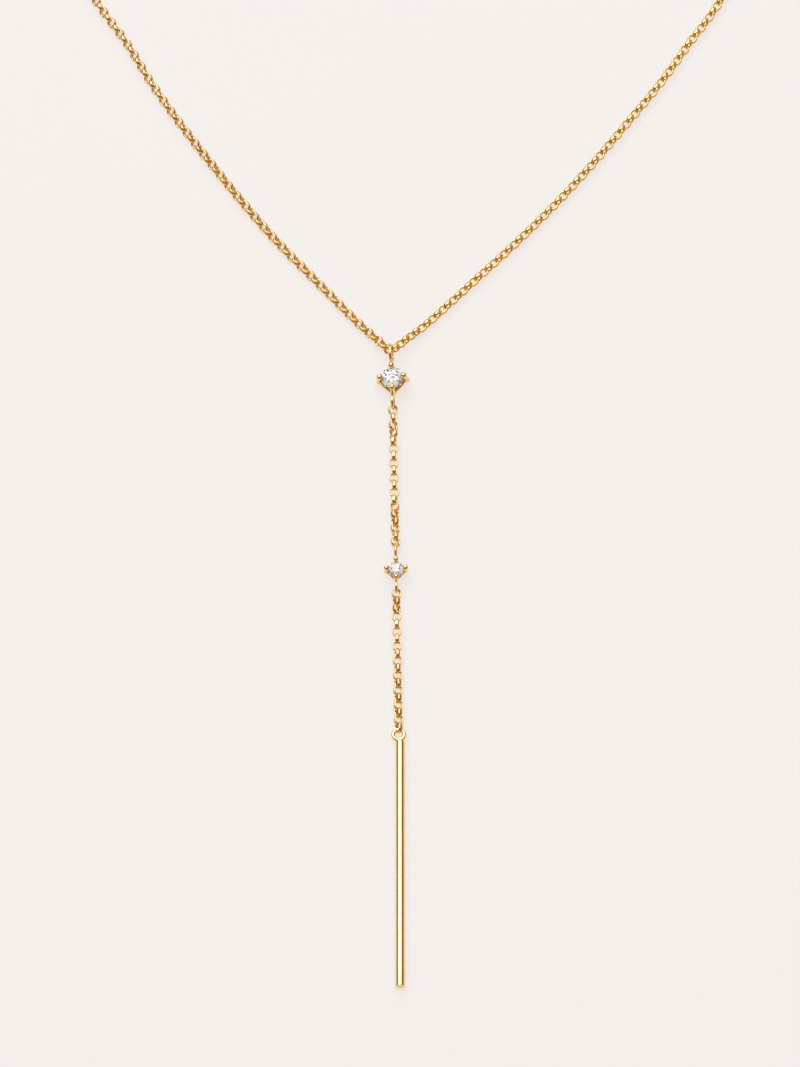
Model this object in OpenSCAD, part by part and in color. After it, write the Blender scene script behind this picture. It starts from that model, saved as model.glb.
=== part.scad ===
// Y necklace, laid flat: a closed neck chain, two claw-set stones and a plain bar on a drop.
// The neck chain runs through a bail ring, and every piece below hangs from the one before it.

/* [Neck chain] */
// Width over the neck chain's links
neck_w = 1.34; // [1.2:0.02:1.4]
// Distance from the bail over which the chain comes down to lie flat
lift_run = 5.5; // [4.5:0.5:8]

/* [Drop chain links] */
// Outside width of a link
link_w = 1.42; // [1.36:0.02:1.6]
// Outside length of a link
link_l = 1.62; // [1.6:0.01:1.8]
// Thickness of a link's band
link_t = 0.16; // [0.12:0.02:0.16]
// Width of a link's band
link_b = 0.4; // [0.3:0.02:0.42]
// Free space between two interlocked links
link_gap = 0.2; // [0.18:0.01:0.22]
// Links between the upper and the lower setting
upper_links = 19; // [17:2:31]
// Links between the lower setting and the bar
lower_links = 19; // [9:2:31]
// Links over which a drop chain comes down from an eye to lie flat
fall_links = 4; // [3:1:6]
// Sideways lean of the upper drop chain
upper_lean = 1; // [-4:0.1:4]
// Sideways lean of the lower drop chain
lower_lean = 0.9; // [-4:0.1:4]

/* [Upper setting] */
// Diameter of the upper stone
upper_stone_d = 3; // [2.6:0.1:3.2]
// Height of the upper stone's girdle over the ground
upper_girdle_z = 2; // [1.98:0.02:2.4]
// Distance of a bead's middle from the stone's axis
upper_claw_r = 1.6; // [1.6:0.02:1.8]
// Distance by which a claw's foot stands out past its bead
upper_claw_spread = 0.4; // [0:0.05:0.4]
// Diameter of a claw
upper_claw_d = 0.66; // [0.56:0.02:0.7]
// Diameter of a claw's bead
upper_bead_d = 0.84; // [0.76:0.02:0.9]
// Height of a bead's middle over the girdle
upper_bead_rise = 0.45; // [0.4:0.01:0.5]
// Depth from the girdle to the end of a claw
upper_foot = 1.45; // [1.4:0.05:1.7]
// Diameter of a gallery rail
upper_rail_d = 0.6; // [0.45:0.05:0.65]
// Depth from the girdle to the gallery rails
upper_rail_drop = 1.08; // [1:0.02:1.2]
// Outside diameter of the bail ring
bail_d = 3.1; // [3.06:0.02:3.4]
// Wire of the bail ring
bail_wire = 0.46; // [0.4:0.02:0.48]
// Outside diameter of the lower eye
upper_eye_d = 2.34; // [2.1:0.02:2.6]
// Wire of the lower eye
upper_eye_wire = 0.44; // [0.36:0.02:0.5]
// Sideways roll of the setting and its stone
upper_roll = 6; // [0:1:8]
// Turn of the setting in its plane
upper_yaw = 2; // [-4:0.5:4]

/* [Lower setting] */
// Diameter of the lower stone
lower_stone_d = 2.1; // [1.8:0.1:2.2]
// Height of the lower stone's girdle over the ground
lower_girdle_z = 1.56; // [1.56:0.02:2]
// Distance of a bead's middle from the stone's axis
lower_claw_r = 1.27; // [1.24:0.01:1.4]
// Distance by which a claw's foot stands out past its bead
lower_claw_spread = 0.1; // [0:0.05:0.25]
// Diameter of a claw
lower_claw_d = 0.5; // [0.44:0.02:0.54]
// Diameter of a claw's bead
lower_bead_d = 0.74; // [0.66:0.02:0.8]
// Height of a bead's middle over the girdle
lower_bead_rise = 0.36; // [0.32:0.01:0.4]
// Depth from the girdle to the end of a claw
lower_foot = 1.3; // [1.2:0.02:1.54]
// Diameter of a gallery rail
lower_rail_d = 0.32; // [0.24:0.02:0.4]
// Depth from the girdle to the gallery rails
lower_rail_drop = 1; // [0.9:0.02:1.1]
// Outside diameter of the upper eye
lower_top_eye_d = 2.4; // [2:0.02:2.6]
// Outside diameter of the lower eye
lower_eye_d = 1.82; // [1.8:0.02:2.1]
// Wire of both eyes
lower_eye_wire = 0.4; // [0.32:0.02:0.42]
// Turn of the setting in its plane
lower_yaw = 1; // [-4:0.5:4]

/* [Bar pendant] */
// Diameter of the bar
bar_d = 1.27; // [1.1:0.01:1.5]
// Length of the bar
bar_l = 35; // [20:0.1:50]
// Chamfer round each end of the bar
bar_edge = 0.08; // [0.04:0.02:0.2]
// Outside diameter of the ring on the bar
ring_d = 2; // [1.94:0.02:2.3]
// Wire of the ring on the bar
ring_wire = 0.52; // [0.4:0.02:0.52]
// Solder neck that joins the ring to the bar
neck_d = 0.8; // [0.6:0.05:1]
// Length of the solder neck between the ring and the bar
neck_l = 0.12; // [0.06:0.02:0.5]
// Sideways offset of the bar from the ring's middle
bar_shift = 0.16; // [-0.2:0.02:0.2]

/* [Clasp] */
// Diameter of the barrel
clasp_d = 1.8; // [1.6:0.1:2.4]
// Length of the barrel
clasp_l = 7; // [5:0.5:12]
// Chamfer round each end of the barrel
clasp_edge = 0.25; // [0.1:0.05:0.4]
// Outside diameter of a clasp eye
clasp_eye_d = 2; // [1.9:0.05:2.4]
// Wire of a clasp eye
clasp_eye_wire = 0.4; // [0.3:0.02:0.44]

/* [Joints] */
// Depth at which soldered pieces run into each other
solder = 0.15; // [0.1:0.01:0.2]
// Free space between the neck chain and the bail ring
bail_gap = 0.12; // [0.11:0.01:0.14]
// Slack of a drop chain's end link in its eye
hook_gap = 0.2; // [0.19:0.01:0.22]
// Free space between the neck chain and the clasp
clasp_gap = 0.1; // [0.1:0.01:0.3]
// Free space between a stone and its claws
seat_gap = 0.02; // [0.02:0.01:0.04]

/* [Hidden] */
$fn = 48;
gold = "goldenrod";
gem = "aliceblue";

// Routes of the two strands as they lie, from inside the bail up and round towards the clasp
left_route = [[0, -0.95], [-1, -0.7], [-1.9, 0.3], [-3, 1.85], [-5, 4.2], [-10.2, 9.9], [-17.8, 18.6],
    [-24.5, 27.3], [-30.5, 36], [-35.6, 44.6], [-39.4, 50.4], [-46, 62], [-52, 75], [-56.4, 89],
    [-58, 103], [-56.4, 117], [-50.5, 130], [-40.5, 141], [-27.5, 149.5], [-13.5, 154.5]];
right_route = [[0, -0.95], [1, -0.7], [1.9, 0.3], [3, 1.85], [5.2, 4.2], [11.05, 9.9], [19.55, 18.6],
    [26.95, 27.3], [33.9, 36], [39.7, 44.6], [43.6, 50.4], [50.2, 62], [56.2, 75], [60.6, 89],
    [62.2, 103], [60.6, 117], [54.7, 130], [44.7, 141], [31.7, 149.5], [17.7, 154.5]];
// Middle of the clasp
clasp_at = [2.1, 156];
// Roll of the drop links about their own chain, as [link number, degrees]
upper_turns = [[0, 0], [6, 90], [11, 90], [17, 0]];
lower_turns = [[0, 0], [6, 90], [12, 100], [18, 100]];
// Sides of the neck chain's outline
tube_sides = 12;

// Shares of a round brilliant's diameter
table_share = 0.56;
crown_share = 0.155;
girdle_share = 0.03;
pavilion_share = 0.43;
star_reach = 0.5;
lower_reach = 0.22;

// Distance between two links' middles, from the width, length, band and free space
link_pitch = 2 * sqrt(pow((link_w - link_t) / 2, 2) - pow((link_b - link_t) / 2, 2))
    + link_l - link_w - link_t - link_gap;
// Distance between an eye's middle and the middle of the link that hangs in it
function hook_reach(eye_d, wire) =
    sqrt(pow(eye_d / 2 - wire - hook_gap - link_t / 2, 2) - pow((link_b - link_t) / 2, 2))
    + (link_l - link_t) / 2;

// Height of a ring's middle when it stands on edge, rolled sideways
function ring_z(d, wire, roll) = (d - wire) / 2 * cos(roll) + wire / 2;

// Heading down the drop at a sideways lean, and heights and middles of a drop chain's links
function down(lean) = [sin(lean), -cos(lean)];
function fall(i) = pow(max(0, 1 - i / fall_links), 2);
function link_z(i, count, z0, z1) = link_w / 2 + (z0 - link_w / 2) * fall(i)
    + (z1 - link_w / 2) * fall(count - 1 - i);
function link_step(i, count, z0, z1) =
    sqrt(pow(link_pitch, 2) - pow(link_z(i + 1, count, z0, z1) - link_z(i, count, z0, z1), 2));
function link_run(i, count, z0, z1) = i == 0 ? 0
    : link_run(i - 1, count, z0, z1) + link_step(i - 1, count, z0, z1);

// Distance from a stone's axis to the ends of the rings soldered to its claws
upper_half = upper_claw_r + (upper_claw_spread + upper_claw_d) / 2 - solder;
lower_half = lower_claw_r + (lower_claw_spread + lower_claw_d) / 2 - solder;

// Places down the drop, each from the one before
bail_at = [0, left_route[0][1] - (bail_d / 2 - bail_wire - neck_w / 2 - bail_gap)];
upper_at = bail_at + down(upper_yaw) * (bail_d / 2 + upper_half);
upper_eye_at = upper_at + down(upper_yaw) * (upper_half + upper_eye_d / 2);
upper_chain_at = upper_eye_at + down(upper_lean) * hook_reach(upper_eye_d, upper_eye_wire);
upper_eye_z = ring_z(upper_eye_d, upper_eye_wire, upper_roll);
upper_chain_l = link_run(upper_links - 1, upper_links, upper_eye_z, lower_top_eye_d / 2);
lower_top_eye_at = upper_chain_at
    + down(upper_lean) * (upper_chain_l + hook_reach(lower_top_eye_d, lower_eye_wire));
lower_at = lower_top_eye_at + down(lower_yaw) * (lower_top_eye_d / 2 + lower_half);
lower_eye_at = lower_at + down(lower_yaw) * (lower_half + lower_eye_d / 2);
lower_chain_at = lower_eye_at + down(lower_lean) * hook_reach(lower_eye_d, lower_eye_wire);
lower_chain_l = link_run(lower_links - 1, lower_links, lower_eye_d / 2, link_w / 2);
ring_at = lower_chain_at + down(lower_lean) * (lower_chain_l + hook_reach(ring_d, ring_wire));
bar_top = ring_at[1] - ring_d / 2 - neck_l;

// The model's middle on the ground
left_x = min([for (p = left_route) p[0]]) - neck_w / 2;
right_x = max([for (p = right_route) p[0]]) + neck_w / 2;
top_y = clasp_at[1] + max(clasp_d, clasp_eye_d) / 2;
middle = [(left_x + right_x) / 2, (top_y + bar_top - bar_l) / 2, 0];

// Height of the neck chain at a point of its route
function chain_z(p) = neck_w / 2
    + (bail_d / 2 - neck_w / 2) * (1 + cos(180 * min(1, norm(p - left_route[0]) / lift_run))) / 2;
function on_ground(route) = [for (p = route) [p[0], p[1], chain_z(p)]];
function unit(v) = v / norm(v);
function between(a, b, c, d) = (9 * (b + c) - a - d) / 16;
function with_middles(r) = [for (i = [0 : len(r) - 1], half = [0 : (i < len(r) - 1 ? 1 : 0)])
    half == 0 ? r[i] : between(r[max(i - 1, 0)], r[i], r[i + 1], r[min(i + 2, len(r) - 1)])];

// A closed tube along a route that starts and ends square to the x axis
module tube(route, d, start) {
    n = len(route);
    points = [for (i = [0 : n - 1])
        let (t = i == 0 ? [start, 0, 0] : i == n - 1 ? [-start, 0, 0] : unit(route[i + 1] - route[i - 1]),
            side = unit(cross(t, [0, 0, 1])),
            up = cross(side, t))
        for (k = [0 : tube_sides - 1])
            route[i] + d / 2 * (cos(360 * k / tube_sides) * side + sin(360 * k / tube_sides) * up)];
    walls = [for (i = [0 : n - 2], k = [0 : tube_sides - 1])
        let (a = i * tube_sides + k, b = i * tube_sides + (k + 1) % tube_sides)
        each [[a, b, b + tube_sides], [a, b + tube_sides, a + tube_sides]]];
    first = [for (k = [tube_sides - 1 : -1 : 0]) k];
    last = [for (k = [0 : tube_sides - 1]) (n - 1) * tube_sides + k];
    polyhedron(points, concat(walls, [first], [last]), 4);
}

module neck_strand(route, side) {
    end = [clasp_at[0] + side * (clasp_l / 2 + clasp_eye_d - solder + clasp_gap), clasp_at[1]];
    tube(on_ground(with_middles(concat(route, [end]))), neck_w, side);
}

module left_neck_chain() {
    color(gold) neck_strand(left_route, -1);
}

module right_neck_chain() {
    color(gold) neck_strand(right_route, 1);
}

// A ring of round wire, lying flat round the z axis
module wire_ring(d, wire) {
    rotate_extrude() translate([(d - wire) / 2, 0]) circle(d = wire);
}

// The same ring standing on edge along the drop, rolled sideways with its setting
module standing_ring(at, yaw, roll, d, wire) {
    translate([at[0], at[1], ring_z(d, wire, roll)]) rotate([0, 90 - roll, yaw]) wire_ring(d, wire);
}

module clasp() {
    color(gold) translate([clasp_at[0], clasp_at[1], clasp_d / 2]) {
        rotate([0, 90, 0]) rotate_extrude() polygon([[0, -clasp_l / 2],
            [clasp_d / 2 - clasp_edge, -clasp_l / 2], [clasp_d / 2, clasp_edge - clasp_l / 2],
            [clasp_d / 2, clasp_l / 2 - clasp_edge], [clasp_d / 2 - clasp_edge, clasp_l / 2],
            [0, clasp_l / 2]]);
        for (side = [-1, 1])
            translate([side * (clasp_l / 2 + clasp_eye_d / 2 - solder), 0, 0])
                wire_ring(clasp_eye_d, clasp_eye_wire);
    }
}

// One oval link round the z axis, long along y, made of a flat band with round edges
module band_section() {
    translate([(link_w - link_t) / 2, 0]) {
        square([link_t, link_b - link_t], center = true);
        for (side = [-1, 1]) translate([0, side * (link_b - link_t) / 2]) circle(d = link_t);
    }
}

module link() {
    straight = link_l - link_w;
    for (turn = [0, 180]) rotate([0, 0, turn]) {
        translate([0, straight / 2, 0]) rotate_extrude(angle = 180) band_section();
        translate([0, straight / 2, 0]) rotate([90, 0, 0]) linear_extrude(straight) band_section();
    }
}

// A row of interlocked links from one end's height to the other's
module drop_chain(at, lean, count, z0, z1, turns) {
    for (i = [0 : count - 1]) {
        a = max(i - 1, 0);
        b = min(i + 1, count - 1);
        dz = link_z(b, count, z0, z1) - link_z(a, count, z0, z1);
        run = link_run(b, count, z0, z1) - link_run(a, count, z0, z1);
        p = at + down(lean) * link_run(i, count, z0, z1);
        translate([p[0], p[1], link_z(i, count, z0, z1)])
            rotate([-atan2(dz, run), 0, lean]) rotate([0, lookup(i, turns) + 90 * (i % 2), 0]) link();
    }
}

module upper_drop_chain() {
    color(gold) drop_chain(upper_chain_at, upper_lean, upper_links, upper_eye_z, lower_top_eye_d / 2,
        upper_turns);
}

module lower_drop_chain() {
    color(gold) drop_chain(lower_chain_at, lower_lean, lower_links, lower_eye_d / 2, link_w / 2,
        lower_turns);
}

// Outline of a round brilliant, grown by the seat's free space
module seat(d) {
    r = d / 2 + seat_gap;
    half = girdle_share * d / 2 + seat_gap;
    rotate_extrude() polygon([[0, -half - pavilion_share * d], [r, -half], [r, half],
        [table_share * d / 2 + seat_gap, half + crown_share * d], [0, half + crown_share * d]]);
}

// A round brilliant with its girdle at height 0: table, stars, kites, girdle and pavilion
module brilliant(d) {
    r = d / 2;
    half = girdle_share * d / 2;
    table_r = table_share * r;
    star_r = (table_r * cos(22.5) * (1 - star_reach) + r * star_reach) / cos(22.5);
    low_r = lower_reach * r;
    function at(radius, step, z) = [radius * cos(22.5 * step), radius * sin(22.5 * step), z];
    points = concat(
        [for (k = [0 : 7]) at(table_r, 2 * k, half + crown_share * d)],
        [for (k = [0 : 7]) at(star_r, 2 * k + 1,
            half + crown_share * d * (r - star_r * cos(22.5)) / (r - table_r))],
        [for (k = [0 : 15]) at(r, k, half)],
        [for (k = [0 : 15]) at(r, k, -half)],
        [for (k = [0 : 7]) at(low_r, 2 * k + 1, -half - pavilion_share * d * (r - low_r * cos(22.5)) / r)],
        [[0, 0, -half - pavilion_share * d]]);
    faces = concat(
        [[for (k = [7 : -1 : 0]) k]],
        [for (k = [0 : 7]) each [
            [k, (k + 1) % 8, 8 + k],
            [k, 8 + k, 16 + 2 * k],
            [k, 16 + 2 * k, 8 + (k + 7) % 8],
            [8 + k, 17 + 2 * k, 16 + 2 * k],
            [8 + k, 16 + (2 * k + 2) % 16, 17 + 2 * k],
            [48 + k, 32 + 2 * k, 33 + 2 * k],
            [48 + k, 33 + 2 * k, 32 + (2 * k + 2) % 16],
            [56, 32 + 2 * k, 48 + k],
            [56, 48 + (k + 7) % 8, 32 + 2 * k]]],
        [for (k = [0 : 15]) each [
            [16 + k, 16 + (k + 1) % 16, 32 + (k + 1) % 16],
            [16 + k, 32 + (k + 1) % 16, 32 + k]]]);
    polyhedron(points, faces, 4);
}

// Four claws with beads, joined by straight gallery rails, with the girdle at height 0
module claws(stone_d, claw_r, spread, claw_d, bead_d, bead_rise, foot, rail_d, rail_drop) {
    rail_r = claw_r + spread * (rail_drop + bead_rise) / (foot + bead_rise);
    difference() {
        for (turn = [0 : 90 : 270]) rotate([0, 0, turn]) {
            translate([claw_r, 0, bead_rise]) {
                rotate([0, 180 - atan2(spread, foot + bead_rise), 0])
                    cylinder(d = claw_d, h = norm([spread, foot + bead_rise]));
                sphere(d = bead_d);
            }
            translate([rail_r, 0, -rail_drop]) rotate([0, -90, -45])
                cylinder(d = rail_d, h = rail_r * sqrt(2));
        }
        seat(stone_d);
    }
}

// Places a setting's head over its point on the ground
module head(at, yaw, z, roll) {
    translate([at[0], at[1], z]) rotate([0, -roll, yaw]) children();
}

module upper_setting() {
    color(gold) {
        head(upper_at, upper_yaw, upper_girdle_z, upper_roll)
            claws(upper_stone_d, upper_claw_r, upper_claw_spread, upper_claw_d, upper_bead_d, upper_bead_rise,
                upper_foot, upper_rail_d, upper_rail_drop);
        standing_ring(bail_at, upper_yaw, upper_roll, bail_d, bail_wire);
        standing_ring(upper_eye_at, upper_yaw, upper_roll, upper_eye_d, upper_eye_wire);
    }
}

module upper_stone() {
    color(gem) head(upper_at, upper_yaw, upper_girdle_z, upper_roll) brilliant(upper_stone_d);
}

module lower_setting() {
    color(gold) {
        head(lower_at, lower_yaw, lower_girdle_z, 0)
            claws(lower_stone_d, lower_claw_r, lower_claw_spread, lower_claw_d, lower_bead_d, lower_bead_rise,
                lower_foot, lower_rail_d, lower_rail_drop);
        standing_ring(lower_top_eye_at, lower_yaw, 0, lower_top_eye_d, lower_eye_wire);
        standing_ring(lower_eye_at, lower_yaw, 0, lower_eye_d, lower_eye_wire);
    }
}

module lower_stone() {
    color(gem) head(lower_at, lower_yaw, lower_girdle_z, 0) brilliant(lower_stone_d);
}

module bar_pendant() {
    color(gold) translate([ring_at[0], ring_at[1], bar_d / 2]) {
        wire_ring(ring_d, ring_wire);
        translate([0, -ring_d / 2 + solder, 0]) rotate([90, 0, 0])
            cylinder(d = neck_d, h = neck_l + 2 * solder);
    }
    color(gold) translate([ring_at[0] + bar_shift, bar_top, bar_d / 2]) rotate([90, 0, 0])
        rotate_extrude() polygon([[0, 0], [bar_d / 2 - bar_edge, 0], [bar_d / 2, bar_edge],
            [bar_d / 2, bar_l - bar_edge], [bar_d / 2 - bar_edge, bar_l], [0, bar_l]]);
}

translate(-middle) {
    left_neck_chain();
    right_neck_chain();
    clasp();
    upper_setting();
    upper_stone();
    upper_drop_chain();
    lower_setting();
    lower_stone();
    lower_drop_chain();
    bar_pendant();
}
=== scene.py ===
# Gold y necklace lying on a pale table: link chains, two claw settings with stones, a plain bar.
# Lengths in the settings below are millimetres; meshes are written in metres.
import math
import bpy
import numpy as np
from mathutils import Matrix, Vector


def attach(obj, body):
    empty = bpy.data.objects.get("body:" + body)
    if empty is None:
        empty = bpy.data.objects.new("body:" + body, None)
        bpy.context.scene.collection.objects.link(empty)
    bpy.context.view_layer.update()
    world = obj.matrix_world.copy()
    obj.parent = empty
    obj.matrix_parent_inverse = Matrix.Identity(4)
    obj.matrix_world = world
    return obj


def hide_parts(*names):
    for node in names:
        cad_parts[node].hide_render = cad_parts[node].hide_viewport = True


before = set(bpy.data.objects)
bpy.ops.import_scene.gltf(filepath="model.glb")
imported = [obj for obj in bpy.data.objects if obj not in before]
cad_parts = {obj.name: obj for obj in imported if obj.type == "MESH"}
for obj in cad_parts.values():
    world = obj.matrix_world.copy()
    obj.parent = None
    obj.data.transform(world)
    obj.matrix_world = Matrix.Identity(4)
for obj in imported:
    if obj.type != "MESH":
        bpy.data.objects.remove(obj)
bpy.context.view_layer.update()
mm = 0.001
origin = np.array([-2.1, -32.55, 0.0])  # from the chain's centre point to the model's middle
print("frame loaded", sorted(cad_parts))


# Steps round each turned shape (a ring has steps round itself and round its wire), and along a rounded
# corner and a span of a route
steps = {
    "claw": 28, "rail": 20, "settingRing": (72, 20), "bar": 64, "collar": 24, "barRing": (64, 20),
    "barrel": 48, "claspEye": (56, 16), "corner": 5, "routeSpan": 40,
}


# Turn matrices round x, y and z, for one angle or an array of angles in radians.
def rotX(a):
    c, s = np.cos(a), np.sin(a)
    z, o = np.zeros_like(c), np.ones_like(c)
    return np.stack([np.stack([o, z, z], -1), np.stack([z, c, -s], -1), np.stack([z, s, c], -1)], -2)


def rotY(a):
    c, s = np.cos(a), np.sin(a)
    z, o = np.zeros_like(c), np.ones_like(c)
    return np.stack([np.stack([c, z, s], -1), np.stack([z, o, z], -1), np.stack([-s, z, c], -1)], -2)


def rotZ(a):
    c, s = np.cos(a), np.sin(a)
    z, o = np.zeros_like(c), np.ones_like(c)
    return np.stack([np.stack([c, -s, z], -1), np.stack([s, c, z], -1), np.stack([z, z, o], -1)], -2)


# Quads between the rows and columns of a grid, whose columns close on themselves, and its rows if asked.
# They face outwards where the columns go round and the rows go up. A ring or link turns them over for that.
def gridFaces(rows, cols, closeRows=True):
    i = np.arange(rows if closeRows else rows - 1)[:, None]
    j = np.arange(cols)[None, :]
    a = i * cols + j
    b = i * cols + (j + 1) % cols
    c = ((i + 1) % rows) * cols + (j + 1) % cols
    d = ((i + 1) % rows) * cols + j
    return np.stack([a, b, c, d], -1).reshape(-1, 4)


# A surface of revolution round z: each profile point (r, z) is swept round; ends on the axis close as fans.
def lathe(profile, around):
    profile = np.asarray(profile, float)
    inner = profile[1:-1]
    angle = np.linspace(0, 2 * math.pi, around, endpoint=False)
    r, z = inner[:, 0][:, None], inner[:, 1][:, None]
    ring = np.stack([r * np.cos(angle), r * np.sin(angle), z + 0 * angle], -1).reshape(-1, 3)
    n = len(ring)
    verts = np.vstack([ring, [[0, 0, profile[0, 1]], [0, 0, profile[-1, 1]]]])
    quads = gridFaces(len(inner), around, closeRows=False)
    k = np.arange(around)
    after = (k + 1) % around
    bottom = np.stack([np.full(around, n), after, k], -1)
    top = n - around + np.stack([k, after, np.full(around, around + 1)], -1)
    return verts, [quads, bottom, top]


# A ring of round wire: the wire's circle (middle radius + w cos v, w sin v) is carried round the z axis.
def torus(outerD, wire, around, sides):
    u = np.linspace(0, 2 * math.pi, around, endpoint=False)[:, None]
    v = np.linspace(0, 2 * math.pi, sides, endpoint=False)[None, :]
    radius = (outerD - wire) / 2 + wire / 2 * np.cos(v)
    verts = np.stack([radius * np.cos(u), radius * np.sin(u), wire / 2 * np.sin(v) + 0 * u], -1)
    return verts.reshape(-1, 3), [gridFaces(around, sides)[:, ::-1]]


# The same profile with each corner as a short quadratic curve from one of its sides to the other.
def roundCorners(points, radius):
    points = np.asarray(points, float)
    out = [points[:1]]
    t = np.linspace(0, 1, steps["corner"])[:, None]
    for before, corner, after in zip(points[:-2], points[1:-1], points[2:]):
        a = corner + (before - corner) / np.linalg.norm(before - corner) * radius
        b = corner + (after - corner) / np.linalg.norm(after - corner) * radius
        out.append((1 - t) ** 2 * a + 2 * t * (1 - t) * corner + t ** 2 * b)
    out.append(points[-1:])
    return np.vstack(out)


# A round bar along z from 0 to its length, with rounded edges.
def roundBar(s, around):
    outline = [(0, 0), (s["d"] / 2, 0), (s["d"] / 2, s["length"]), (0, s["length"])]
    return lathe(roundCorners(outline, s["edge"]), around)


# Joins several (verts, faces) shapes, each placed by a 3x3 turn and a shift, into one list of arrays.
def join(parts):
    verts, faces, base = [], [], 0
    for (v, f), turn, shift in parts:
        verts.append(v @ np.asarray(turn).T + np.asarray(shift))
        faces += [g + base for g in f]
        base += len(v)
    return np.vstack(verts), faces


# A smooth-shaded object in the place of one node, from vertices in millimetres and arrays of faces.
def makePiece(name, shape, material, node):
    verts, faces = shape
    mesh = bpy.data.meshes.new(name)
    loops = np.concatenate([f.ravel() for f in faces])
    sizes = np.concatenate([np.full(len(f), f.shape[1]) for f in faces])
    starts = np.concatenate([[0], np.cumsum(sizes)[:-1]])
    mesh.vertices.add(len(verts))
    mesh.vertices.foreach_set("co", ((verts + origin) * mm).astype(np.float32).ravel())
    mesh.loops.add(len(loops))
    mesh.loops.foreach_set("vertex_index", loops.astype(np.int32))
    mesh.polygons.add(len(sizes))
    mesh.polygons.foreach_set("loop_start", starts.astype(np.int32))
    mesh.polygons.foreach_set("loop_total", sizes.astype(np.int32))
    mesh.update(calc_edges=True)
    mesh.validate()
    mesh.shade_smooth()
    mesh.materials.append(material)
    piece = bpy.data.objects.new(name, mesh)
    bpy.context.scene.collection.objects.link(piece)
    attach(piece, "root")
    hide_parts(node)
    print("piece", name, len(mesh.polygons), "faces")


# An empty material with its nodes and links.
def newMaterial(name):
    material = bpy.data.materials.new(name)
    material.use_nodes = True
    return material, material.node_tree.nodes, material.node_tree.links


# Sets a node's inputs from a table of names and values.
def setInputs(node, values):
    for name, value in values.items():
        node.inputs[name].default_value = value


# A texture node of the given kind with its inputs set.
def newTexture(nodes, kind, values):
    texture = nodes.new(kind)
    setInputs(texture, values)
    return texture


polishedGoldSettings = {
    "base": (0.92, 0.65, 0.28), "deep": (0.86, 0.57, 0.21), "toneScale": 900.0, "toneSpan": (0.35, 0.65),
    "roughLow": 0.07, "roughHigh": 0.15, "roughScale": 2600.0, "roughSpan": (0.3, 0.7),
    "markScale": 9000.0, "markHeight": 0.000002, "markStrength": 0.12,
    "coat": 0.6, "coatIor": 1.9, "coatRough": 0.05,
}
chainGoldSettings = {
    "base": (0.86, 0.58, 0.24), "deep": (0.79, 0.50, 0.17), "toneScale": 1500.0, "toneSpan": (0.35, 0.65),
    "roughLow": 0.16, "roughHigh": 0.26, "roughScale": 4000.0, "roughSpan": (0.3, 0.7),
    "markScale": 12000.0, "markHeight": 0.000002, "markStrength": 0.12,
    "coat": 0.15, "coatIor": 1.6, "coatRough": 0.15,
}


# Polished metal whose tone and gloss drift a little over the surface, with very fine polishing marks.
def goldMaterial(name, s):
    material, nodes, links = newMaterial(name)
    shader = nodes["Principled BSDF"]
    setInputs(shader, {"Metallic": 1.0, "Coat Weight": s["coat"], "Coat IOR": s["coatIor"],
                       "Coat Roughness": s["coatRough"]})
    coords = nodes.new("ShaderNodeTexCoord")
    tone = newTexture(nodes, "ShaderNodeTexNoise", {"Scale": s["toneScale"], "Detail": 3.0})
    gloss = newTexture(nodes, "ShaderNodeTexNoise", {"Scale": s["roughScale"], "Detail": 4.0})
    marks = newTexture(nodes, "ShaderNodeTexNoise", {"Scale": s["markScale"]})
    toneRamp = nodes.new("ShaderNodeValToRGB")
    for stop, position, color in zip(toneRamp.color_ramp.elements, s["toneSpan"], (s["deep"], s["base"])):
        stop.position = position
        stop.color = (*color, 1)
    glossRange = nodes.new("ShaderNodeMapRange")
    setInputs(glossRange, {"From Min": s["roughSpan"][0], "From Max": s["roughSpan"][1],
                           "To Min": s["roughLow"], "To Max": s["roughHigh"]})
    bump = nodes.new("ShaderNodeBump")
    setInputs(bump, {"Strength": s["markStrength"], "Distance": s["markHeight"]})
    for texture in (tone, gloss, marks):
        links.new(coords.outputs["Object"], texture.inputs["Vector"])
    links.new(tone.outputs["Fac"], toneRamp.inputs["Fac"])
    links.new(toneRamp.outputs["Color"], shader.inputs["Base Color"])
    links.new(gloss.outputs["Fac"], glossRange.inputs["Value"])
    links.new(glossRange.outputs["Result"], shader.inputs["Roughness"])
    links.new(marks.outputs["Fac"], bump.inputs["Height"])
    links.new(bump.outputs["Normal"], shader.inputs["Normal"])
    return material


stoneSettings = {
    "ior": 2.1, "tint": (0.90, 0.96, 1.0), "flashShare": 0.9, "flashRough": 0.25, "flashScale": 3900.0,
    # share of the cells from which each tone of the painted reflections is used, from the darkest
    "paintedFlashTones": [(0.0, (0.13, 0.16, 0.21)), (0.11, (0.35, 0.42, 0.53)),
              (0.28, (0.63, 0.72, 0.87)), (0.48, (0.89, 0.96, 1.0))],
}
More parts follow.
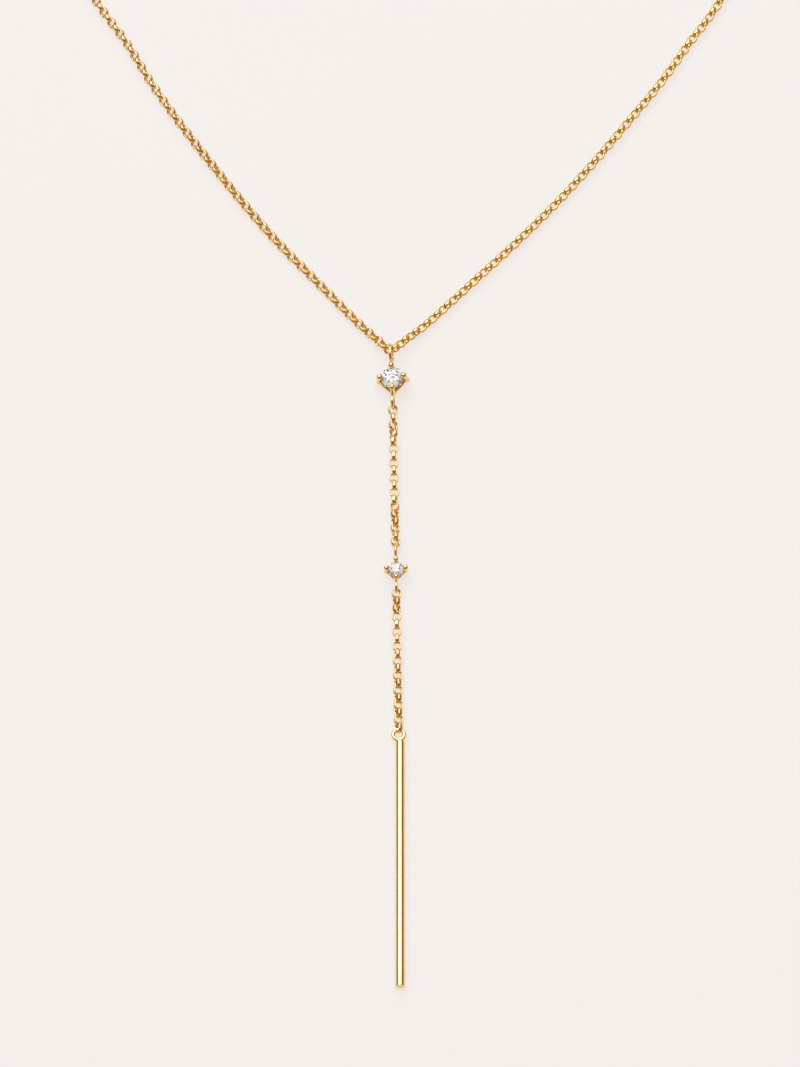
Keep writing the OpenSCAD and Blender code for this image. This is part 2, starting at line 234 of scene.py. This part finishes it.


# Cut stone: clear glass mixed with painted reflections, small cells of differing tone that stand in for the
# light its inner facets throw back.
def stoneMaterial(name, s):
    material, nodes, links = newMaterial(name)
    clear = nodes["Principled BSDF"]
    setInputs(clear, {"Transmission Weight": 1.0, "Roughness": 0.0, "IOR": s["ior"],
                      "Base Color": (*s["tint"], 1)})
    # painted reflections: a layer whose cells take the listed tones, in place of the facets' flashes of light
    paintedFlash = nodes.new("ShaderNodeBsdfPrincipled")
    setInputs(paintedFlash, {"Roughness": s["flashRough"]})
    coords = nodes.new("ShaderNodeTexCoord")
    cells = newTexture(nodes, "ShaderNodeTexVoronoi", {"Scale": s["flashScale"]})
    pick = nodes.new("ShaderNodeSeparateColor")
    ramp = nodes.new("ShaderNodeValToRGB")
    ramp.color_ramp.interpolation = "CONSTANT"
    stops = ramp.color_ramp.elements
    for number, (position, tone) in enumerate(s["paintedFlashTones"]):
        stop = stops[number] if number < len(stops) else stops.new(position)
        stop.position = position
        stop.color = (*tone, 1)
    mix = nodes.new("ShaderNodeMixShader")
    setInputs(mix, {"Fac": s["flashShare"]})
    links.new(coords.outputs["Object"], cells.inputs["Vector"])
    links.new(cells.outputs["Color"], pick.inputs["Color"])
    links.new(pick.outputs["Red"], ramp.inputs["Fac"])
    links.new(ramp.outputs["Color"], paintedFlash.inputs["Base Color"])
    links.new(clear.outputs["BSDF"], mix.inputs[1])
    links.new(paintedFlash.outputs["BSDF"], mix.inputs[2])
    links.new(mix.outputs["Shader"], nodes["Material Output"].inputs["Surface"])
    return material


polishedGold = goldMaterial("polishedGold", polishedGoldSettings)
chainGold = goldMaterial("chainGold", chainGoldSettings)
clearStone = stoneMaterial("clearStone", stoneSettings)
print("materials made")

# Table, light and camera; the table's and the lamps' places and sizes are in metres
table = {
    "base": (0.14, 0.14, 0.14), "darker": 0.98, "grainScale": 60.0, "glow": (0.742, 0.716, 0.702),
    "rough": 0.9, "shine": 0.1, "size": 6.0,
}
light = {
    "world": (0.40, 0.26, 0.11), "worldStrength": 0.8,
    # name, middle, size, power
    "softboxes": [("overhead", (-0.12, 2.58, 1.80), (2.60, 5.52), 75.0),
                  ("core", (-0.50, 2.55, 1.78), (1.30, 4.50), 34.0),
                  ("leftPanel", (-1.41, 0.90, 1.75), (0.80, 1.70), 14.0)],
}
camera = {
    "target": (1.197, -26.51, 0.0), "elevation": 67.0, "frameHeight": 141.9,
    "lens": 1200.0, "sensor": 36.0, "clipFrom": 0.2, "clipTo": 3.0,
}


# A wide flat sheet that glows softly, so that it stays evenly pale, and still takes soft shadows.
def makeTable(s):
    material, nodes, links = newMaterial("tableTop")
    shader = nodes["Principled BSDF"]
    setInputs(shader, {"Roughness": s["rough"], "Specular IOR Level": s["shine"],
                       "Emission Color": (*s["glow"], 1), "Emission Strength": 1.0})
    coords = nodes.new("ShaderNodeTexCoord")
    grain = newTexture(nodes, "ShaderNodeTexNoise", {"Scale": s["grainScale"]})
    ramp = nodes.new("ShaderNodeValToRGB")
    ramp.color_ramp.elements[0].color = (*[c * s["darker"] for c in s["base"]], 1)
    ramp.color_ramp.elements[1].color = (*s["base"], 1)
    links.new(coords.outputs["Object"], grain.inputs["Vector"])
    links.new(grain.outputs["Fac"], ramp.inputs["Fac"])
    links.new(ramp.outputs["Color"], shader.inputs["Base Color"])
    half = s["size"] / 2
    corners = [(-half, -half, 0), (half, -half, 0), (half, half, 0), (-half, half, 0)]
    mesh = bpy.data.meshes.new("tableTop")
    mesh.from_pydata(corners, [], [(0, 1, 2, 3)])
    mesh.materials.append(material)
    top = bpy.data.objects.new("tableTop", mesh)
    bpy.context.scene.collection.objects.link(top)


# A warm surround that darkens the metal's edges, and softboxes that face straight down.
def makeLight(s):
    world = bpy.data.worlds.new("studio")
    world.use_nodes = True
    background = world.node_tree.nodes["Background"]
    setInputs(background, {"Color": (*s["world"], 1), "Strength": s["worldStrength"]})
    bpy.context.scene.world = world
    for name, middle, size, power in s["softboxes"]:
        lamp = bpy.data.lights.new(name, "AREA")
        lamp.shape = "RECTANGLE"
        lamp.size, lamp.size_y = size
        lamp.energy = power
        holder = bpy.data.objects.new(name, lamp)
        holder.location = middle
        bpy.context.scene.collection.objects.link(holder)


# A long lens, looking down at the target; its distance makes the frame as high as set at the target.
def makeCamera(s):
    data = bpy.data.cameras.new("camera")
    data.lens = s["lens"]
    data.sensor_width = s["sensor"]
    distance = s["lens"] / s["sensor"] * s["frameHeight"] * mm
    elevation = math.radians(s["elevation"])
    back = Vector((0, -math.cos(elevation), math.sin(elevation)))
    holder = bpy.data.objects.new("camera", data)
    holder.location = Vector((np.array(s["target"]) + origin) * mm) + back * distance
    holder.rotation_mode = "QUATERNION"
    holder.rotation_quaternion = (-back).to_track_quat("-Z", "Y")
    data.clip_start, data.clip_end = distance * s["clipFrom"], distance * s["clipTo"]
    bpy.context.scene.collection.objects.link(holder)
    bpy.context.scene.camera = holder
    bpy.context.scene.view_settings.view_transform = "Standard"
    bpy.context.scene.view_settings.look = "None"


makeTable(table)
makeLight(light)
makeCamera(camera)
print("table, light and camera set")

# Rings and eyes that the chains hang in: outside diameter and wire
rings = {
    "bail": (3.10, 0.46), "upperEye": (2.34, 0.44), "lowerTopEye": (2.40, 0.40),
    "lowerEye": (1.82, 0.40), "barRing": (2.0, 0.52),
}
# Down the drop: how far each middle lies from the one before it, and at what sideways lean in degrees
dropPlan = {
    "upperSetting": (3.53, 2.0), "upperEye": (3.15, 2.0), "lowerTopEye": (21.7159, 1.0),
    "lowerSetting": (2.62, 1.0), "lowerEye": (2.33, 1.0), "barRing": (21.1948, 0.9),
}


# The middles of the settings, rings and eyes, from the bail down.
def dropMiddles(bail, plan):
    here = np.array(bail)
    found = {"bail": here}
    for name, (distance, lean) in plan.items():
        angle = math.radians(lean)
        here = here + distance * np.array([math.sin(angle), -math.cos(angle)])
        found[name] = here
    return found


middles = dropMiddles((0.0, -1.25), dropPlan)
clasp = {
    "at": (2.1, 156.0, 0.9), "d": 1.8, "length": 7.0, "edge": 0.25,
    "eyeD": 2.0, "eyeWire": 0.4, "solder": 0.15,
}
claspReach = clasp["length"] / 2 + clasp["eyeD"] / 2 - clasp["solder"]

# How a link's band is rounded outwards and upwards (lower is squarer), and how sharply its ends turn
linkForm = {"out": 0.7, "up": 0.8, "turn": 6.0}


# One link round the z axis, long along y: an oval path carries a band section with rounded edges.
def linkShape(s):
    u = np.linspace(0, 2 * math.pi, s["pathSteps"], endpoint=False)[:, None]
    v = np.linspace(0, 2 * math.pi, s["sectionSteps"], endpoint=False)[None, :]
    v = v + 0.5 * (v[0, 1] - v[0, 0])
    out = s["thick"] / 2 * np.sign(np.cos(v)) * np.abs(np.cos(v)) ** linkForm["out"]
    up = s["band"] / 2 * np.sign(np.sin(v)) * np.abs(np.sin(v)) ** linkForm["up"]
    radius = (s["width"] - s["thick"]) / 2 + out
    stretch = (s["length"] - s["width"]) / 2 * np.tanh(linkForm["turn"] * np.sin(u))
    verts = np.stack([radius * np.cos(u), radius * np.sin(u) + stretch, up + 0 * u], -1)
    return verts.reshape(-1, 3), [gridFaces(s["pathSteps"], s["sectionSteps"])[:, ::-1]]


# A smooth curve through the route's points (each span a cubic with even tangents), and its length so far.
def smoothRoute(points):
    p = np.asarray(points, float)
    p = np.vstack([2 * p[0] - p[1], p, 2 * p[-1] - p[-2]])
    t = np.linspace(0, 1, steps["routeSpan"], endpoint=False)[None, :, None]
    a, b, c, d = (q[:, None, :] for q in (p[:-3], p[1:-2], p[2:-1], p[3:]))
    bend = 2 * a - 5 * b + 4 * c - d
    curve = 0.5 * (2 * b + (c - a) * t + bend * t ** 2 + (3 * b - a - 3 * c + d) * t ** 3)
    curve = np.vstack([curve.reshape(-1, p.shape[1]), p[-2:-1]])
    length = np.concatenate([[0], np.cumsum(np.linalg.norm(np.diff(curve, axis=0), axis=1))])
    return curve, length


# The curve's points at the given distances from its start.
def along(curve, length, s):
    return np.stack([np.interp(s, length, curve[:, k]) for k in range(curve.shape[1])], -1)


# Copies of one link along a curve: each is turned to the curve's heading and slope, then rolled about it.
def chainLinks(shape, centres, ahead, roll):
    heading = np.arctan2(-ahead[:, 0], ahead[:, 1])
    slope = np.arctan2(ahead[:, 2], np.hypot(ahead[:, 0], ahead[:, 1]))
    turn = rotZ(heading) @ rotX(slope) @ rotY(np.radians(roll))
    verts, faces = shape
    placed = np.einsum("nij,vj->nvi", turn, verts) + centres[:, None, :]
    base = (np.arange(len(centres)) * len(verts))[:, None, None]
    return placed.reshape(-1, 3), [(f[None] + base).reshape(-1, f.shape[1]) for f in faces]


# Rolls are degrees about the chain at the link numbers in rollAt; even and odd links have their own.
neckChain = {
    "length": 1.45, "width": 1.33, "thick": 0.27, "band": 0.56, "pathSteps": 16, "sectionSteps": 6,
    "restHeight": 0.67, "bailHeight": 1.5, "liftRun": 5.0, "claspRun": 4.0, "hook": 1.07,
    "middle": (0.165, -0.52),
    "left": {
        "points": [(-0.27, -0.58), (-0.95, 0.12), (-2.9, 2.2), (-4.72, 4.04), (-10.04, 9.82), (-15.3, 15.6),
                   (-19.95, 21.38), (-24.25, 27.16), (-28.35, 32.94), (-32.1, 38.72), (-35.4, 44.5),
                   (-39.24, 50.27), (-46, 62), (-52, 75), (-56.4, 89), (-58, 103), (-56.4, 117),
                   (-50.5, 130), (-40.5, 141), (-27.5, 149.5), (-13.5, 154.5)],
        "side": -1, "pitch": 0.948, "rollAt": [0, 4, 15, 35, 50, 67, 100],
        "evenRoll": [130, 130, 130, 130, 130, 130, 120], "oddRoll": [38, 38, 38, 44, 64, 75, 40],
    },
    "right": {
        "points": [(0.60, -0.30), (1.28, 0.40), (3.15, 2.2), (5.25, 4.04), (11.1, 9.82), (16.9, 15.6),
                   (22.27, 21.38), (27.15, 27.16), (31.65, 32.94), (36.05, 38.72), (39.9, 44.5),
                   (43.8, 50.27), (50.2, 62), (56.2, 75), (60.6, 89), (62.2, 103), (60.6, 117),
                   (54.7, 130), (44.7, 141), (31.7, 149.5), (17.7, 154.5)],
        "side": 1, "pitch": 0.962, "rollAt": [0, 10, 60],
        "evenRoll": [76, 79, 82], "oddRoll": [-14, -11, -8],
    },
}


# One strand: links evenly spaced along its route, lifted at the bail by a cosine, at the clasp by a square.
def neckStrand(name, node, s, side):
    x, y, claspHeight = clasp["at"]
    end = (x + side["side"] * (claspReach + s["hook"]), y)
    curve, length = smoothRoute([s["middle"]] + side["points"] + [end])
    away = np.hypot(curve[:, 0] - s["middle"][0], curve[:, 1] - s["middle"][1])
    bailLift = (1 + np.cos(np.pi * np.minimum(1, away / s["liftRun"]))) / 2
    claspLift = (1 - np.minimum(1, (length[-1] - length) / s["claspRun"])) ** 2
    rest = s["restHeight"]
    z = rest + (s["bailHeight"] - rest) * bailLift + (claspHeight - rest) * claspLift
    curve = np.column_stack([curve, z])
    count = int(round(length[-1] / side["pitch"] + 0.5))
    count += 1 - count % 2  # odd, so that the first and the last link lie alike
    pitch = length[-1] / (count - 0.5)
    at = (np.arange(count) + 0.5) * pitch
    centres = along(curve, length, at)
    forward = along(curve, length, np.minimum(at + pitch / 2, length[-1]))
    ahead = forward - along(curve, length, at - pitch / 2)
    number = np.arange(count)
    roll = np.where(number % 2, np.interp(number, side["rollAt"], side["oddRoll"]),
                    np.interp(number, side["rollAt"], side["evenRoll"]))
    makePiece(name, chainLinks(linkShape(s), centres, ahead, roll), chainGold, node)
    print(name, count, "links, pitch", round(float(pitch), 4))


neckStrand("leftNeckLinks", "left_neck_chain", neckChain, neckChain["left"])
neckStrand("rightNeckLinks", "right_neck_chain", neckChain, neckChain["right"])

dropChain = {
    "length": 1.51, "width": 1.33, "thick": 0.22, "band": 0.55, "pathSteps": 28, "sectionSteps": 8,
    "restHeight": 0.67, "slack": 0.02, "fallLinks": 4, "count": 19,
}
# Twists are degrees about the chain at the link numbers in twistAt, on top of a quarter turn for odd links.
upperDrop = {
    "from": "upperEye", "fromHeight": 1.16, "to": "lowerTopEye", "toHeight": 1.20,
    "twistAt": [0, 1, 2, 3, 4, 5, 11, 12, 13, 14, 15, 16, 17, 18],
    "twist": [-20, -7, -46, -40, -75, -90, -90, -78, -54, -54, -28, -38, -14, -38],
}
lowerDrop = {
    "from": "lowerEye", "fromHeight": 0.91, "to": "barRing", "toHeight": 0.67,
    "twistAt": [0, 1, 2, 3, 7, 8, 9, 10, 12, 14, 16, 18],
    "twist": [-20, -28, -56, -88, -90, -99, -104, -106, -112, -114, -118, -122],
}


# One drop: links evenly spaced between two eyes, whose ends fall from the eyes' height to rest by a square.
def dropStrand(name, node, s, d):
    a, b = middles[d["from"]], middles[d["to"]]
    (dA, wireA), (dB, wireB) = rings[d["from"]], rings[d["to"]]
    line = (b - a) / np.linalg.norm(b - a)
    inset = s["length"] / 2 - s["thick"] - s["slack"]
    start = a + line * (dA / 2 - wireA + inset)
    end = b - line * (dB / 2 - wireB + inset)
    last = s["count"] - 1
    k = np.arange(s["count"])
    fallA = np.maximum(0, 1 - k / s["fallLinks"]) ** 2
    fallB = np.maximum(0, 1 - (last - k) / s["fallLinks"]) ** 2
    rest = s["restHeight"]
    z = rest + (d["fromHeight"] - rest) * fallA + (d["toHeight"] - rest) * fallB
    share = (k / last)[:, None]
    centres = np.column_stack([start + (end - start) * share, z])
    ahead = np.gradient(centres, axis=0)
    roll = 90.0 * (k % 2) + np.interp(k, d["twistAt"], d["twist"])
    makePiece(name, chainLinks(linkShape(s), centres, ahead, roll), chainGold, node)
    print(name, "pitch", round(float(np.linalg.norm(end - start) / last), 4))


dropStrand("upperDropLinks", "upper_drop_chain", dropChain, upperDrop)
dropStrand("lowerDropLinks", "lower_drop_chain", dropChain, lowerDrop)

# Shares of the wire's radius along a claw, and the lengths in which its foot and neck are rounded
clawForm = {
    "neckShare": 0.97, "shankShare": 0.98, "footShare": 0.96, "tipShare": 0.66,
    "footRound": 0.1, "neckDrop": 0.05, "shankAt": 0.5, "beadSteps": 12, "footSteps": 5,
}


# One claw: a wire that narrows a little to its rounded foot and swells into a bead at the top.
def clawProfile(wire, beadD, length):
    f = clawForm
    r, bead = wire / 2, beadD / 2
    neckR = r * f["neckShare"]
    t = np.linspace(math.pi - math.asin(neckR / bead), 0, f["beadSteps"])
    beadArc = np.stack([bead * np.sin(t), bead * np.cos(t)], -1)
    e = np.linspace(0, math.pi / 2, f["footSteps"])
    footR = r * f["footShare"] * (f["tipShare"] + (1 - f["tipShare"]) * np.sin(e))
    foot = np.stack([footR, -length + f["footRound"] * (1 - np.cos(e))], -1)
    shank = (r * f["shankShare"], -length * f["shankAt"])
    neck = (neckR, beadArc[0, 1] - f["neckDrop"])
    return np.vstack([[(0, -length)], foot, [shank], [neck], beadArc])


upperSetting = {
    "girdle": 2.0, "roll": 6.0,
    "clawR": 1.6, "spread": 0.4, "wire": 0.66, "beadD": 0.84, "beadRise": 0.45, "foot": 1.3,
    "railD": 0.74, "railDrop": 0.98, "railIn": 0.16, "rings": ["bail", "upperEye"],
}
lowerSetting = {
    "girdle": 1.56, "roll": 0.0,
    "clawR": 1.27, "spread": 0.1, "wire": 0.50, "beadD": 0.74, "beadRise": 0.36, "foot": 1.15,
    "railD": 0.32, "railDrop": 0.86, "railIn": 0.08, "rings": ["lowerTopEye", "lowerEye"],
}


# Four claws that lean outwards, four rails between them, and rings on edge, all rolled about the drop.
def makeSetting(name, node, s):
    roll = math.radians(s["roll"])
    yaw = rotZ(math.radians(dropPlan[name][1]))
    head = yaw @ rotY(-roll)
    middle = np.array([*middles[name], s["girdle"]])
    rise, drop = s["foot"] + s["beadRise"], s["railDrop"] + s["beadRise"]
    railR = s["clawR"] + s["spread"] * drop / rise - s["railIn"]
    railL = railR * math.sqrt(2)
    claw = lathe(clawProfile(s["wire"], s["beadD"], math.hypot(s["spread"], rise)), steps["claw"])
    rail = lathe([(0, 0), (s["railD"] / 2, 0), (s["railD"] / 2, railL), (0, railL)], steps["rail"])
    lean = rotY(-math.atan2(s["spread"], rise))
    layRail = rotZ(math.radians(-45)) @ rotY(math.radians(-90))
    parts = []
    for quarter in range(4):
        spin = head @ rotZ(math.radians(90 * quarter))
        parts.append((claw, spin @ lean, middle + spin @ np.array([s["clawR"], 0, s["beadRise"]])))
        parts.append((rail, spin @ layRail, middle + spin @ np.array([railR, 0, -s["railDrop"]])))
    onEdge = yaw @ rotY(math.radians(90) - roll)
    for ring in s["rings"]:
        outerD, wire = rings[ring]
        height = (outerD - wire) / 2 * math.cos(roll) + wire / 2
        parts.append((torus(outerD, wire, *steps["settingRing"]), onEdge, (*middles[ring], height)))
    makePiece(name, join(parts), polishedGold, node)


makeSetting("upperSetting", "upper_setting", upperSetting)
makeSetting("lowerSetting", "lower_setting", lowerSetting)

bar = {
    "length": 35.0, "d": 1.27, "edge": 0.09, "shift": 0.19,
    "collarFrom": 1.178, "collarTo": 1.24, "neckL": 0.12, "solder": 0.15,
}


# A round bar that lies along the drop, a flat ring over its end, and a short collar of solder between them.
def makeBar(s):
    x, y = middles["barRing"]
    ringD, ringWire = rings["barRing"]
    top = y - ringD / 2 - s["neckL"]
    middle = s["d"] / 2
    collarL = s["neckL"] + 2 * s["solder"]
    collarProfile = [(0, 0), (s["collarFrom"] / 2, 0), (s["collarTo"] / 2, collarL), (0, collarL)]
    downY = rotX(math.radians(90))
    makePiece("barPendant", join([
        (roundBar(s, steps["bar"]), downY, (x + s["shift"], top, middle)),
        (lathe(collarProfile, steps["collar"]), downY, (x + s["shift"], y - ringD / 2 + s["solder"], middle)),
        (torus(ringD, ringWire, *steps["barRing"]), np.eye(3), (x, y, middle)),
    ]), polishedGold, "bar_pendant")


# A round barrel across the loop's end, with a flat eye on each side.
def makeClasp(s):
    barrel = roundBar(s, steps["barrel"])
    eye = torus(s["eyeD"], s["eyeWire"], *steps["claspEye"])
    at = np.array(s["at"])
    makePiece("claspBarrel", join([
        (barrel, rotY(math.radians(90)), at - (s["length"] / 2, 0, 0)),
        (eye, np.eye(3), at - (claspReach, 0, 0)),
        (eye, np.eye(3), at + (claspReach, 0, 0)),
    ]), polishedGold, "clasp")


makeBar(bar)
makeClasp(clasp)

# The stones are the frame's own solids, with the stone material
for name in ("upper_stone", "lower_stone"):
    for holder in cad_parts[name].material_slots:
        holder.material = clearStone
print("stones set")
